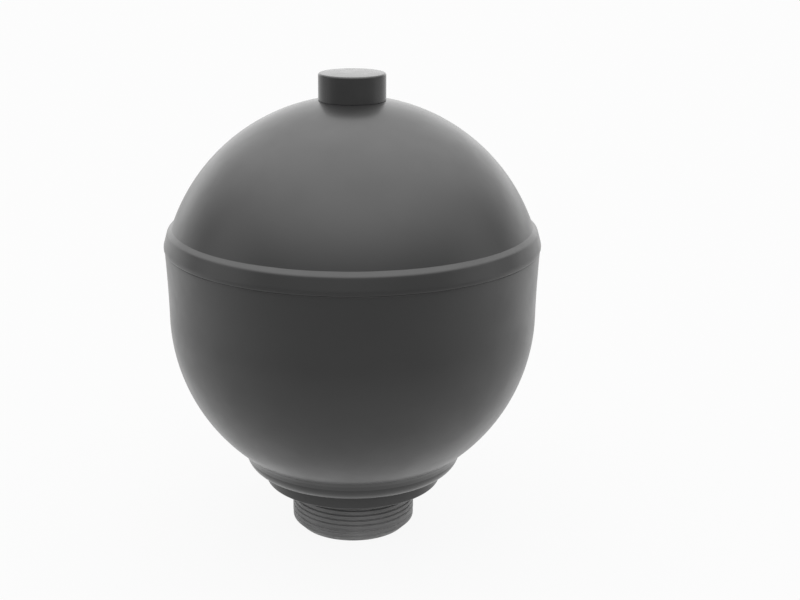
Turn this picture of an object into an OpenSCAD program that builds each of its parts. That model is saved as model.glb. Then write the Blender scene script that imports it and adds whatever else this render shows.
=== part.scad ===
// Diaphragm accumulator of the suspension sphere type, upright on its threaded neck.
// Millimetres. +Z is the axis of the vessel, and Z 0 is the end face of the neck.

/* [Lower shell] */
// Outside diameter of the bowl
shell_d = 101; // [92:0.2:112]
// Wall thickness of the bowl
shell_wall = 3.6; // [3:0.1:4.4]
// Height of the wall from the bowl's centre to the joint of the shells
wall_height = 20.3; // [16:0.1:28]
// Growth of the wall's outside radius from the bowl to the rim
wall_flare = 0.8; // [0.2:0.1:1.2]

/* [Upper shell] */
// Rise of the dome from the joint to its crown
dome_rise = 38.6; // [32:0.2:46]
// Wall thickness of the dome
dome_wall = 3.6; // [3:0.1:4.4]
// How far the rim of the bowl stands proud of the dome at the joint
joint_step = 0.9; // [0.8:0.1:1.5]

/* [Girth weld] */
// Depth of the welding bevel on each shell
weld_bevel = 1.6; // [1:0.1:1.6]
// Reach of the belt below the joint
weld_below = 1.8; // [1.7:0.1:2.6]
// How far the belt stands proud of the rim
weld_proud = 0.2; // [0.2:0.05:0.6]
// Radius of the belt's crowned face
weld_crown = 8; // [7:0.5:10]
// How far the belt's widest place lies below the joint
weld_drop = 0.8; // [0.4:0.1:1.2]

/* [Neck] */
// Outside diameter of the thread
thread_d = 35; // [30:0.5:37]
// Length of the threaded shank
thread_length = 11.2; // [10:0.2:16]
// Chamfer at the thread's start
thread_chamfer = 2; // [1:0.1:2.4]
// Depth of the thread relief
relief_depth = 1.1; // [0.6:0.1:2]
// Length of the thread relief
relief_length = 2.8; // [2.8:0.1:4]
// Diameter of the seal collar
collar_d = 49.8; // [46:0.2:54]
// Height of the seal collar
collar_height = 3.8; // [3:0.1:5]
// Radius of the seal collar's lower edge
collar_round = 0.5; // [0.3:0.1:1.2]
// Radius of the seal collar's shoulder
collar_shoulder = 1.5; // [0.8:0.1:1.8]
// How far the waist between the collar and the flange lies inside the collar
waist_step = 0.9; // [0.4:0.1:1.6]
// Height of the waist
waist_height = 0.3; // [0.2:0.1:1]
// Wall between the waist and the bowl
seat_wall = 1.1; // [0.8:0.1:2.4]
// Diameter of the flange that carries the bowl
flange_d = 61; // [56:0.5:66]
// Height of the flange's rim below the bowl
flange_edge = 2.8; // [2:0.1:3.4]
// Edge radius of the flange
flange_round = 2; // [0.4:0.1:2]
// Diameter of the spigot that enters the bowl
spigot_d = 39; // [36:0.5:42]
// Leg of the fillet weld between the flange and the bowl
neck_weld_leg = 1.4; // [1:0.1:1.4]

/* [Port] */
// Diameter of the bore at the neck's mouth
bore_d = 23; // [21:0.2:24]
// Chamfer of the mouth
mouth_chamfer = 1; // [0.5:0.1:1.2]
// Depth of the mouth up to the snap ring's groove
mouth_depth = 7; // [6:0.2:8]
// Width of the shoulder that the damper seats on
shoulder_width = 1.3; // [0.9:0.1:1.6]
// Room above the damper nut
chamber_room = 0.7; // [0.4:0.1:1.5]
// Diameter of the fluid port into the bowl
port_d = 13; // [8:0.5:16]

/* [Seal ring] */
// Radial width of the seal ring
seal_width = 2.6; // [2:0.1:3]
// Height of the seal ring
seal_height = 2.7; // [2:0.1:2.7]
// Width of the seal ring's conical face
seal_cone_width = 1; // [0.4:0.1:1.2]
// Height of the seal ring's conical face
seal_cone_height = 0.8; // [0.4:0.1:1.2]

/* [Diaphragm] */
// Width of the ledge that carries the diaphragm's bead
ledge_width = 1.3; // [1:0.1:1.6]
// Height of the bead
bead_height = 3; // [2.4:0.1:4]
// Width of the bead
bead_width = 4.2; // [3.8:0.1:5]
// Thickness of the membrane
membrane = 2.4; // [1.8:0.1:3]
// Room between the membrane and the bowl
membrane_gap = 0.3; // [0.2:0.05:0.5]
// Thickness of the membrane's flat centre
centre_thickness = 2.6; // [2:0.1:3.4]
// Height of the clamp ring
clamp_height = 3.5; // [3:0.1:5]
// Width of the clamp ring's tongue
tongue_width = 1.2; // [0.8:0.1:1.6]
// Depth of the clamp ring's tongue
tongue_depth = 0.7; // [0.4:0.1:1]
// Edge radius inside the clamp ring
clamp_round = 1; // [0.5:0.1:1.4]

/* [Closing button] */
// Diameter of the closing plate
button_d = 24; // [20:0.5:28]
// Thickness of the closing plate
button_thickness = 2.4; // [1.8:0.1:3]
// Edge radius of the closing plate
button_round = 0.8; // [0.4:0.1:0.9]
// Diameter of the rivet stem
stem_d = 8; // [6:0.5:10]
// Diameter of the washer on the gas side
washer_d = 18; // [14:0.5:22]
// Thickness of the washer on the gas side
washer_thickness = 1.6; // [1:0.1:2.4]
// Diameter of the rivet head
rivet_d = 12; // [11:0.5:13.5]
// Height of the rivet head
rivet_height = 1.4; // [1:0.1:2]

/* [Damper] */
// Height of the damper body
damper_height = 5.2; // [4.8:0.1:5.4]
// Depth of the recess in the damper body's lower face
recess_depth = 1.8; // [1.8:0.1:2]
// Width of the damper body's rim
damper_rim = 1.4; // [1:0.1:1.4]
// Number of passages through the damper body
passages = 8; // [4:2:10]
// Diameter of each passage
passage_d = 2.6; // [1.6:0.1:2.8]
// Depth of the feed slots
slot_depth = 1; // [0.6:0.1:1.2]
// Width of the feed slots
slot_width = 2; // [1:0.1:2.2]
// Land between a feed slot and the wall of the recess
slot_land = 0.4; // [0.2:0.1:0.6]
// Thickness of one shim
shim_thickness = 0.35; // [0.2:0.05:0.35]
// Radial room round the large shims
shim_room = 1; // [0.7:0.1:1.4]
// How far the large shims reach past the passages
shim_cover = 0.5; // [0.3:0.1:0.8]
// Diameter of the medium shims
shim_medium_d = 14; // [12:0.5:16]
// Diameter of the small shims
shim_small_d = 10.4; // [9:0.2:11.6]
// Diameter of the damper's backing washers
backing_d = 9; // [8:0.2:10]
// Thickness of the damper's backing washers
backing_thickness = 0.9; // [0.6:0.1:0.9]
// Diameter of the damper bolt
bolt_d = 5; // [4:0.5:6]
// Diameter of the damper bolt's head
bolt_head_d = 8.8; // [8:0.2:10]
// Height of the damper bolt's head
bolt_head_height = 1; // [0.6:0.1:1]
// Width of the slot in the damper bolt's head
bolt_slot_width = 1; // [0.6:0.1:1.2]
// Depth of the slot in the damper bolt's head
bolt_slot_depth = 0.5; // [0.3:0.1:0.5]
// Diameter of the bleed hole through the damper bolt
bleed_d = 1.2; // [0.6:0.1:2]
// Width across the flats of the damper nut
nut_width = 8; // [7:0.5:9]
// Height of the damper nut
nut_height = 2.2; // [1.8:0.1:2.2]
// Thickness of the snap ring
snap_thickness = 1.1; // [0.8:0.1:1.4]
// Radial width of the snap ring
snap_width = 2; // [1.8:0.1:2.2]
// Depth of the snap ring's groove
snap_groove = 0.85; // [0.6:0.05:1]
// Opening of the snap ring in degrees
snap_opening = 24; // [10:1:40]

/* [Gas valve] */
// Diameter of the boss above the dome
boss_d = 15.6; // [15:0.2:17]
// Height of the boss above the crown of the dome
boss_height = 5; // [4.4:0.1:7]
// Diameter of the boss's flange inside the dome
boss_flange_d = 23.6; // [20:0.2:28]
// Thickness of the boss's flange at its edge
boss_flange_edge = 2.2; // [1.6:0.1:3]
// Diameter of the charging screw's thread
screw_d = 8; // [6:0.5:8.5]
// Length of the charging screw below its head
screw_length = 8.4; // [7:0.1:8.8]
// Diameter of the charging screw's head
screw_head_d = 10.8; // [10.4:0.1:11.2]
// Height of the charging screw's head
screw_head_height = 2.4; // [2:0.1:2.8]
// Width across the flats of the charging screw's socket
socket_width = 5; // [4:0.5:6]
// Depth of the charging screw's socket
socket_depth = 1.7; // [1.2:0.1:1.7]
// Thickness of the sealing washer under the screw head
screw_seal_thickness = 0.8; // [0.5:0.1:1.2]
// How far the screw head lies below the boss's end
screw_sunk = 0.2; // [0.1:0.1:0.6]

/* [Gas cap] */
// Wall of the cap's skirt
cap_wall = 1.2; // [0.8:0.1:2.2]
// Thickness of the cap's top
cap_top = 1.5; // [1.2:0.1:2.4]
// Room between the cap's skirt and the crown of the dome, below the crown
cap_drop = 0.25; // [0:0.05:0.3]
// Edge radius at the top of the cap
cap_round = 0.9; // [0.4:0.1:1.1]

/* [Fits] */
// Radial room in a running fit
run_gap = 0.08; // [0.04:0.01:0.1]
// Room between seated pieces
fit_gap = 0.1; // [0.05:0.01:0.15]

/* [Hidden] */
$fn = 256;

// Overrun of a cut past the face that it opens
over = 1;

// Radii of the shells
shell_r = shell_d / 2;
bowl_r = shell_r - shell_wall;
rim_r = shell_r + wall_flare;
seat_r = bowl_r + ledge_width;
dome_edge_r = rim_r - joint_step;
dome_radius = (pow(dome_edge_r, 2) + pow(dome_rise, 2)) / (2 * dome_rise);
dome_in_r = dome_radius - dome_wall;

// Heights of the neck, from its end face up
collar_z = thread_length + relief_length;
waist_z = collar_z + collar_height;
cone_z = waist_z + waist_height;

// Radii of the neck
thread_r = thread_d / 2;
relief_r = thread_r - relief_depth;
collar_r = collar_d / 2;
waist_r = collar_r - waist_step;
flange_r = flange_d / 2;
spigot_r = spigot_d / 2;
bore_r = bore_d / 2;
chamber_r = bore_r - shoulder_width;

// Heights of the vessel
bowl_z = cone_z + seat_wall + sqrt(pow(shell_r + fit_gap, 2) - pow(waist_r, 2));
joint_z = bowl_z + wall_height;
crown_z = joint_z + dome_rise;
dome_z = crown_z - dome_radius;
port_z = bowl_z - sqrt(pow(bowl_r, 2) - pow(spigot_r, 2));

// Heights of the flange, where its rim meets the bowl
bowl_seat_z = bowl_z - sqrt(pow(shell_r, 2) - pow(flange_r, 2));
flange_z = bowl_seat_z - flange_edge;

// Heights of the clamped bead
clamp_z = joint_z - clamp_height;
ledge_z = clamp_z - bead_height;
bead_in_r = seat_r - fit_gap - bead_width;
tongue_r = bead_in_r + bead_width / 2;

// Heights of the closing button
flat_z = port_z + button_thickness;
washer_z = flat_z + centre_thickness;
rivet_z = washer_z + washer_thickness;

// Heights of the damper
groove_height = snap_thickness + fit_gap;
damper_z = mouth_depth + groove_height;
shoulder_z = damper_z + damper_height;
web_z = damper_z + recess_depth;
upper_stack_z = shoulder_z + 3 * shim_thickness;
lower_stack_z = web_z - 3 * shim_thickness;
nut_z = upper_stack_z + backing_thickness;
chamber_z = nut_z + nut_height + chamber_room;
bolt_head_z = lower_stack_z - backing_thickness - bolt_head_height;
snap_r = bore_r + snap_groove - fit_gap;

// Radii of the damper
damper_r = bore_r - run_gap;
recess_r = damper_r - damper_rim;
shim_large_r = recess_r - shim_room;
passage_circle = shim_large_r - shim_cover - passage_d / 2;

// Heights of the gas valve
boss_z = crown_z + boss_height;
screw_head_z = boss_z - screw_sunk - screw_head_height;
screw_seat_z = screw_head_z - screw_seal_thickness;
boss_flange_z = dome_z + sqrt(pow(dome_in_r, 2) - pow(boss_flange_d / 2, 2)) - boss_flange_edge;
cap_z = crown_z - cap_drop;
cap_bore_r = boss_d / 2 + run_gap;
cap_r = cap_bore_r + cap_wall;

// Finishes as colours
paint = [0.29, 0.29, 0.30];
steel = [0.62, 0.63, 0.65];
spring_steel = [0.48, 0.50, 0.55];
zinc = [0.74, 0.74, 0.70];
rubber = [0.10, 0.10, 0.11];
plastic = [0.17, 0.17, 0.18];

// Radius of a circle through the corners of a hexagon
function hex_r(width) = width / sqrt(3);

// Rectangle in the section plane, between two radii and two heights
module band(r0, r1, z0, z1) {
    translate([r0, z0])
        square([r1 - r0, z1 - z0]);
}

// Band whose two outer corners are rounded
module rounded_band(r0, r1, z0, z1, low, high) {
    difference() {
        band(r0, r1, z0, z1);
        translate([r1 - low, z0 + low])
            rotate(-90)
                corner(low);
        translate([r1 - high, z1 - high])
            corner(high);
    }
}

// What a quarter circle leaves of the square around it, with some overrun outside
module corner(radius) {
    difference() {
        square(radius + over);
        circle(radius);
    }
}

// Half disc below its centre, to the right of the axis
module half_disc(radius, centre_z) {
    intersection() {
        translate([0, centre_z])
            circle(radius);
        band(0, radius, centre_z - radius, centre_z);
    }
}

// Part of a disc to the right of the axis and above a height
module cap_disc(radius, centre_z, from_z) {
    intersection() {
        translate([0, centre_z])
            circle(radius);
        band(0, radius, from_z, centre_z + radius);
    }
}

// Section of the bowl with its flaring wall, bead ledge, welding bevel and neck hole
module lower_section() {
    difference() {
        union() {
            half_disc(shell_r, bowl_z);
            polygon([[0, bowl_z], [shell_r, bowl_z], [rim_r, joint_z], [0, joint_z]]);
        }
        half_disc(bowl_r, bowl_z);
        band(0, bowl_r, bowl_z, joint_z + over);
        band(0, seat_r, ledge_z, joint_z + over);
        band(0, spigot_r + fit_gap, 0, bowl_z);
        polygon([[rim_r - weld_bevel, joint_z], [rim_r + over, joint_z - weld_bevel - over],
            [rim_r + over, joint_z]]);
    }
}

// Section of the dome with its welding bevel and the hole for the gas boss
module upper_section() {
    difference() {
        cap_disc(dome_radius, dome_z, joint_z);
        cap_disc(dome_in_r, dome_z, joint_z - over);
        band(0, boss_d / 2 + fit_gap, joint_z, crown_z + over);
        polygon([[dome_edge_r - weld_bevel, joint_z], [dome_edge_r + over, joint_z],
            [dome_edge_r + over, joint_z + weld_bevel + over]]);
    }
}

// Section of the room for the weld belt, from the welding bevel outward
module belt_room() {
    band(dome_edge_r - weld_bevel, rim_r + over, joint_z - weld_below, joint_z);
    band(seat_r, rim_r + over, joint_z, joint_z + weld_crown);
}

// Section of the neck without its bore
module neck_section() {
    polygon([[0, 0], [thread_r - thread_chamfer, 0], [thread_r, thread_chamfer],
        [thread_r, thread_length], [0, thread_length]]);
    band(0, relief_r, thread_length, collar_z);
    difference() {
        union() {
            rounded_band(0, collar_r, collar_z, waist_z, collar_round, collar_shoulder);
            band(0, waist_r, collar_z, cone_z);
            flange_section();
        }
        translate([0, bowl_z])
            circle(shell_r + fit_gap);
    }
    band(0, spigot_r, collar_z, port_z);
}

// Section of the flange: conical underside, rounded lower edge, upright rim
module flange_section() {
    slope = atan2(flange_z - cone_z, flange_r - waist_r);
    edge_r = flange_r - flange_round;
    edge_z = flange_z + flange_round * (1 - sin(slope)) / cos(slope);
    polygon([[0, cone_z], [waist_r, cone_z],
        [edge_r + flange_round * sin(slope), edge_z - flange_round * cos(slope)], [edge_r, edge_z],
        [flange_r, edge_z], [flange_r, bowl_seat_z], [0, bowl_seat_z]]);
    translate([edge_r, edge_z])
        circle(flange_round);
}

// Section of the stepped bore through the neck
module bore_section() {
    polygon([[0, -over], [bore_r + mouth_chamfer + over, -over], [bore_r, mouth_chamfer],
        [bore_r, shoulder_z], [0, shoulder_z]]);
    band(0, bore_r + snap_groove, mouth_depth, damper_z);
    band(0, chamber_r, shoulder_z, chamber_z);
    band(0, port_d / 2, chamber_z, port_z + over);
}

module lower_shell() {
    color(paint)
        rotate_extrude()
            lower_section();
}

module upper_shell() {
    color(paint)
        rotate_extrude()
            upper_section();
}

module girth_weld() {
    color(paint)
        rotate_extrude()
            difference() {
                intersection() {
                    belt_room();
                    translate([rim_r + weld_proud - weld_crown, joint_z - weld_drop])
                        circle(weld_crown);
                }
                lower_section();
                upper_section();
                cap_disc(dome_in_r + dome_wall / 2, dome_z, joint_z);
            }
}

module threaded_neck() {
    color(paint)
        rotate_extrude()
            difference() {
                neck_section();
                bore_section();
            }
}

module neck_weld() {
    color(paint)
        rotate_extrude()
            difference() {
                polygon([[flange_r, bowl_seat_z - neck_weld_leg],
                    [flange_r + neck_weld_leg, bowl_seat_z + neck_weld_leg],
                    [flange_r, bowl_seat_z + neck_weld_leg]]);
                translate([0, bowl_z])
                    circle(shell_r);
            }
}

module seal_ring() {
    in_r = thread_r + fit_gap;
    out_r = in_r + seal_width;
    color(rubber)
        rotate_extrude()
            translate([0, collar_z - seal_height])
                polygon([[in_r, 0], [out_r - seal_cone_width, 0], [out_r, seal_cone_height],
                    [out_r, seal_height], [in_r, seal_height]]);
}

module gas_boss() {
    color(steel)
        rotate_extrude()
            difference() {
                union() {
                    band(0, boss_d / 2, boss_flange_z, boss_z);
                    intersection() {
                        band(0, boss_flange_d / 2, boss_flange_z, crown_z);
                        translate([0, dome_z])
                            circle(dome_in_r - fit_gap);
                    }
                }
                band(0, screw_d / 2 + run_gap, boss_flange_z - over, boss_z + over);
                band(0, screw_head_d / 2 + fit_gap, screw_seat_z, boss_z + over);
            }
}

module charging_screw() {
    color(zinc)
        difference() {
            union() {
                translate([0, 0, screw_head_z - screw_length])
                    cylinder(d = screw_d, h = screw_length);
                translate([0, 0, screw_head_z])
                    cylinder(d = screw_head_d, h = screw_head_height);
            }
            translate([0, 0, screw_head_z + screw_head_height - socket_depth])
                cylinder(r = hex_r(socket_width), h = socket_depth + over, $fn = 6);
        }
}

module screw_seal() {
    color(spring_steel)
        rotate_extrude()
            band(screw_d / 2 + run_gap, screw_head_d / 2, screw_seat_z, screw_head_z);
}

module gas_cap() {
    color(plastic)
        rotate_extrude()
            difference() {
                rounded_band(0, cap_r, cap_z, boss_z + cap_top, 0, cap_round);
                band(0, cap_bore_r, cap_z - over, boss_z + fit_gap);
            }
}

module diaphragm() {
    out_r = bowl_r - membrane_gap;
    in_r = out_r - membrane;
    groove = tongue_width / 2 + fit_gap;
    color(rubber)
        rotate_extrude()
            difference() {
                union() {
                    half_disc(out_r, bowl_z);
                    band(0, out_r, bowl_z, ledge_z);
                    band(0, seat_r - fit_gap, ledge_z, clamp_z);
                }
                difference() {
                    union() {
                        half_disc(in_r, bowl_z);
                        band(0, in_r, bowl_z, ledge_z);
                    }
                    band(0, in_r, 0, washer_z);
                }
                band(0, min(bead_in_r, in_r), ledge_z, clamp_z + over);
                band(0, out_r, 0, flat_z);
                band(0, stem_d / 2 + fit_gap, 0, washer_z + over);
                band(tongue_r - groove, tongue_r + groove, clamp_z - tongue_depth, clamp_z + over);
            }
}

module clamp_ring() {
    color(steel)
        rotate_extrude() {
            difference() {
                band(bead_in_r, seat_r - fit_gap, clamp_z, joint_z);
                translate([bead_in_r + clamp_round, joint_z - clamp_round])
                    rotate(90)
                        corner(clamp_round);
            }
            band(tongue_r - tongue_width / 2, tongue_r + tongue_width / 2, clamp_z - tongue_depth, clamp_z);
        }
}

module closing_button() {
    color(steel)
        rotate_extrude() {
            rounded_band(0, button_d / 2, port_z, flat_z, button_round, button_round);
            band(0, stem_d / 2, flat_z, rivet_z);
            rounded_band(0, rivet_d / 2, rivet_z, rivet_z + rivet_height, 0, rivet_height / 2);
        }
}

module button_washer() {
    color(zinc)
        rotate_extrude()
            band(stem_d / 2 + fit_gap, washer_d / 2, washer_z, rivet_z);
}

// Feed slot that leads outward from a passage
module feed_slot(angle, z) {
    rotate(angle)
        translate([passage_circle, -slot_width / 2, z])
            cube([recess_r - slot_land - passage_circle, slot_width, slot_depth + over]);
}

module damper_body() {
    step = 360 / passages;
    color(steel)
        difference() {
            translate([0, 0, damper_z])
                cylinder(r = damper_r, h = damper_height);
            translate([0, 0, damper_z - over])
                cylinder(r = recess_r, h = recess_depth + over);
            translate([0, 0, damper_z])
                cylinder(d = bolt_d + 2 * run_gap, h = damper_height + over);
            for (i = [0 : passages - 1])
                rotate(i * step)
                    translate([passage_circle, 0, damper_z])
                        cylinder(d = passage_d, h = damper_height + over);
            for (i = [0 : 2 : passages - 1]) {
                feed_slot(i * step, shoulder_z - slot_depth);
                feed_slot((i + 1) * step, web_z - over);
            }
        }
}

// Flat ring round the damper bolt
module bolt_ring(d, z, h) {
    rotate_extrude()
        band(bolt_d / 2 + run_gap, d / 2, z, z + h);
}

module damper_bolt() {
    color(zinc)
        difference() {
            union() {
                translate([0, 0, bolt_head_z])
                    cylinder(d = bolt_head_d, h = bolt_head_height);
                translate([0, 0, bolt_head_z])
                    cylinder(d = bolt_d, h = nut_z + nut_height - bolt_head_z);
            }
            translate([0, 0, bolt_head_z - over])
                cylinder(d = bleed_d, h = nut_z + nut_height - bolt_head_z + 2 * over);
            translate([-bolt_head_d / 2 - over, -bolt_slot_width / 2, bolt_head_z - over])
                cube([bolt_head_d + 2 * over, bolt_slot_width, bolt_slot_depth + over]);
        }
}

module damper_nut() {
    color(zinc)
        translate([0, 0, nut_z])
            difference() {
                cylinder(r = hex_r(nut_width), h = nut_height, $fn = 6);
                translate([0, 0, -over])
                    cylinder(d = bolt_d + 2 * run_gap, h = nut_height + 2 * over);
            }
}

module upper_shim_large() {
    color(spring_steel)
        bolt_ring(2 * shim_large_r, shoulder_z, shim_thickness);
}

module upper_shim_medium() {
    color(spring_steel)
        bolt_ring(shim_medium_d, shoulder_z + shim_thickness, shim_thickness);
}

module upper_shim_small() {
    color(spring_steel)
        bolt_ring(shim_small_d, shoulder_z + 2 * shim_thickness, shim_thickness);
}

module upper_washer() {
    color(zinc)
        bolt_ring(backing_d, upper_stack_z, backing_thickness);
}

module lower_shim_large() {
    color(spring_steel)
        bolt_ring(2 * shim_large_r, web_z - shim_thickness, shim_thickness);
}

module lower_shim_medium() {
    color(spring_steel)
        bolt_ring(shim_medium_d, web_z - 2 * shim_thickness, shim_thickness);
}

module lower_shim_small() {
    color(spring_steel)
        bolt_ring(shim_small_d, web_z - 3 * shim_thickness, shim_thickness);
}

module lower_washer() {
    color(zinc)
        bolt_ring(backing_d, lower_stack_z - backing_thickness, backing_thickness);
}

module snap_ring() {
    color(spring_steel)
        rotate(snap_opening / 2)
            rotate_extrude(angle = 360 - snap_opening)
                band(snap_r - snap_width, snap_r, damper_z - snap_thickness, damper_z);
}

lower_shell();
upper_shell();
girth_weld();
threaded_neck();
neck_weld();
seal_ring();
gas_boss();
charging_screw();
screw_seal();
gas_cap();
diaphragm();
clamp_ring();
closing_button();
button_washer();
damper_body();
damper_bolt();
damper_nut();
upper_shim_large();
upper_shim_medium();
upper_shim_small();
upper_washer();
lower_shim_large();
lower_shim_medium();
lower_shim_small();
lower_washer();
snap_ring();
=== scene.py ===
"""Studio scene of a diaphragm accumulator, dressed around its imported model.

Lengths are in millimetres unless a name says otherwise, and meshes are in metres. +Z is the axis of
the vessel, and Z 0 is the end face of the threaded neck.
"""

from __future__ import annotations

import logging
import math
from collections.abc import Sequence
from dataclasses import dataclass, field
from enum import Enum
from typing import Any

import bpy
import numpy as np
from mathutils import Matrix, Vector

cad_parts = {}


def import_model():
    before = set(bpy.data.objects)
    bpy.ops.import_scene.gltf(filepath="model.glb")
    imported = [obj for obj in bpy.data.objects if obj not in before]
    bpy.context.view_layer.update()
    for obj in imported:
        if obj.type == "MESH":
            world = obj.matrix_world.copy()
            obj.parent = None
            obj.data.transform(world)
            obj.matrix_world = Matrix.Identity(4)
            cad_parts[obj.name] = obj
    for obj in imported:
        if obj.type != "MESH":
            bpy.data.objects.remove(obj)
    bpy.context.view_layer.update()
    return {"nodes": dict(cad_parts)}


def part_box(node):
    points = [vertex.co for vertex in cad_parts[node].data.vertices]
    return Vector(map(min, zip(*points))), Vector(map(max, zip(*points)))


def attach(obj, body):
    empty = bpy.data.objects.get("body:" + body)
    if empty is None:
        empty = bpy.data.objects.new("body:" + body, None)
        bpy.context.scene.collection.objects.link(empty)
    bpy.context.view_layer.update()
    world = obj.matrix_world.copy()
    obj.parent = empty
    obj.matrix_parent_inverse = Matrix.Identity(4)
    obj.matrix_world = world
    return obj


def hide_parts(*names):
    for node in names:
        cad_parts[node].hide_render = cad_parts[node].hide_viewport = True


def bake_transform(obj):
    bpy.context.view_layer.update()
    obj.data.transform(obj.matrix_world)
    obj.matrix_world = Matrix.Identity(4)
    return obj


LOG = logging.getLogger("accumulator")
MM = 0.001

# Faces round a turned piece
SEGMENTS = 240
# Angle between two points of a shell's arc, and between two points of a rounded corner
ARC_STEP = math.radians(1.5)
ROUND_STEP = math.radians(10)
# Share of the shorter side that the rounding of a corner may take up
ROUND_SHARE = 0.48
# Half the angle from which a corner counts as straight
STRAIGHT = math.radians(89)
# Smallest angle between faces at which their edge is sharp
SHARP_EDGE = math.radians(32)
# Radius in metres below which a point lies on the axis
ON_AXIS = 1e-7

# Stretch of a noise field over which a finish changes
NOISE_LOW = 0.3
NOISE_HIGH = 0.7
# Grains across one patch of tone and one patch of gloss
TONE_PATCH = 30
GLOSS_PATCH = 8
# Share of the real coordinates by which circular tool marks break up
MARK_SKEW = 0.02


class Body(Enum):
    """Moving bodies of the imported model."""

    VESSEL = "vessel"
    BUTTON = "button"
    CAP = "cap"


class Slot(Enum):
    """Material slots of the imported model."""

    PAINT = "paint"
    STEEL = "steel"
    ZINC = "zinc"
    SPRING_STEEL = "spring_steel"
    RUBBER = "rubber"
    SEAL_RUBBER = "seal_rubber"
    PLASTIC = "plastic"


class Graph:
    """Node tree under construction."""

    def __init__(self, tree: bpy.types.NodeTree) -> None:
        """Start on an empty tree."""
        self.tree = tree
        tree.nodes.clear()

    def add(self, kind: str, inputs: dict[Any, Any] | None = None, **settings: Any) -> bpy.types.Node:
        """Add a node and fill its inputs.

        Args:
            kind: Type name of the node.
            inputs: Values or output sockets, keyed by the input's name or index.
            settings: Properties of the node.

        Returns:
            The new node.
        """
        node = self.tree.nodes.new(kind)
        for name, value in settings.items():
            setattr(node, name, value)
        for key, value in (inputs or {}).items():
            self.fill(node.inputs[key], value)
        return node

    def fill(self, socket: bpy.types.NodeSocket, value: Any) -> None:
        """Link an input to an output socket, or set it to a constant.

        Args:
            socket: Input to fill.
            value: Output socket or constant.
        """
        if isinstance(value, bpy.types.NodeSocket):
            self.tree.links.new(value, socket)
        else:
            socket.default_value = value

    def math(self, operation: str, a: Any, b: Any = 0.0) -> bpy.types.NodeSocket:
        """Return the output of a maths node on two values or sockets."""
        return self.add("ShaderNodeMath", {0: a, 1: b}, operation=operation).outputs[0]

    def ramp(self, value: Any, start: float, end: float, low: float, high: float) -> bpy.types.NodeSocket:
        """Let a value pass smoothly from one level to another.

        Args:
            value: Output socket to follow.
            start: Value at which the passage starts.
            end: Value at which it ends.
            low: Level up to the start.
            high: Level from the end on.

        Returns:
            Output with the level.
        """
        node = self.add(
            "ShaderNodeMapRange",
            {"Value": value, "From Min": start, "From Max": end, "To Min": low, "To Max": high},
            interpolation_type="SMOOTHSTEP",
        )
        return node.outputs["Result"]


class Shading(Graph):
    """Node tree of one surface finish, read in Object coordinates."""

    def __init__(self, name: str) -> None:
        """Start a material whose shader is a Principled BSDF.

        Args:
            name: Name of the material.
        """
        self.material = bpy.data.materials.new(name)
        self.material.use_nodes = True
        super().__init__(self.material.node_tree)
        self.place = self.add("ShaderNodeTexCoord").outputs["Object"]
        self.shader = self.add("ShaderNodeBsdfPrincipled")
        self.add("ShaderNodeOutputMaterial", {"Surface": self.shader.outputs[0]})

    def set(self, **values: Any) -> None:
        """Set constants or links on the shader, with _ in place of spaces in the socket names."""
        for name, value in values.items():
            self.fill(self.shader.inputs[name.replace("_", " ")], value)

    def noise(self, size: float, detail: float = 2.0, vector: Any = None) -> bpy.types.NodeSocket:
        """Return a noise field.

        Args:
            size: Length of one feature.
            detail: Number of finer layers.
            vector: Coordinates to read, or None for the piece's own.

        Returns:
            Factor output of the noise.
        """
        inputs = {"Vector": vector or self.place, "Scale": 1 / (size * MM), "Detail": detail}
        return self.add("ShaderNodeTexNoise", inputs).outputs["Fac"]

    def turned(self, size: float) -> bpy.types.NodeSocket:
        """Return a noise field drawn out along circles round the axis, as a lathe tool leaves it.

        Args:
            size: Spacing of the tool marks.

        Returns:
            Factor output of the noise.
        """
        axes = self.add("ShaderNodeSeparateXYZ", {0: self.place}).outputs
        squares = self.math("ADD", self.math("POWER", axes["X"], 2.0), self.math("POWER", axes["Y"], 2.0))
        around = {
            "X": self.math("SQRT", squares),
            "Y": self.math("MULTIPLY", axes["X"], MARK_SKEW),
            "Z": self.math("ADD", axes["Z"], self.math("MULTIPLY", axes["Y"], MARK_SKEW)),
        }
        return self.noise(size, detail=3.0, vector=self.add("ShaderNodeCombineXYZ", around).outputs[0])

    def between(self, size: float, low: float, high: float) -> bpy.types.NodeSocket:
        """Return a level that changes in patches between two limits.

        Args:
            size: Length of one patch.
            low: Lower limit.
            high: Upper limit.

        Returns:
            Output with the level.
        """
        return self.ramp(self.noise(size), NOISE_LOW, NOISE_HIGH, low, high)

    def bump(self, height: bpy.types.NodeSocket, depth: float) -> None:
        """Raise the surface by a height field.

        Args:
            height: Field from 0 to 1.
            depth: Height of the relief.
        """
        inputs = {"Height": height, "Distance": depth * MM}
        self.set(Normal=self.add("ShaderNodeBump", inputs).outputs[0])


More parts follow.
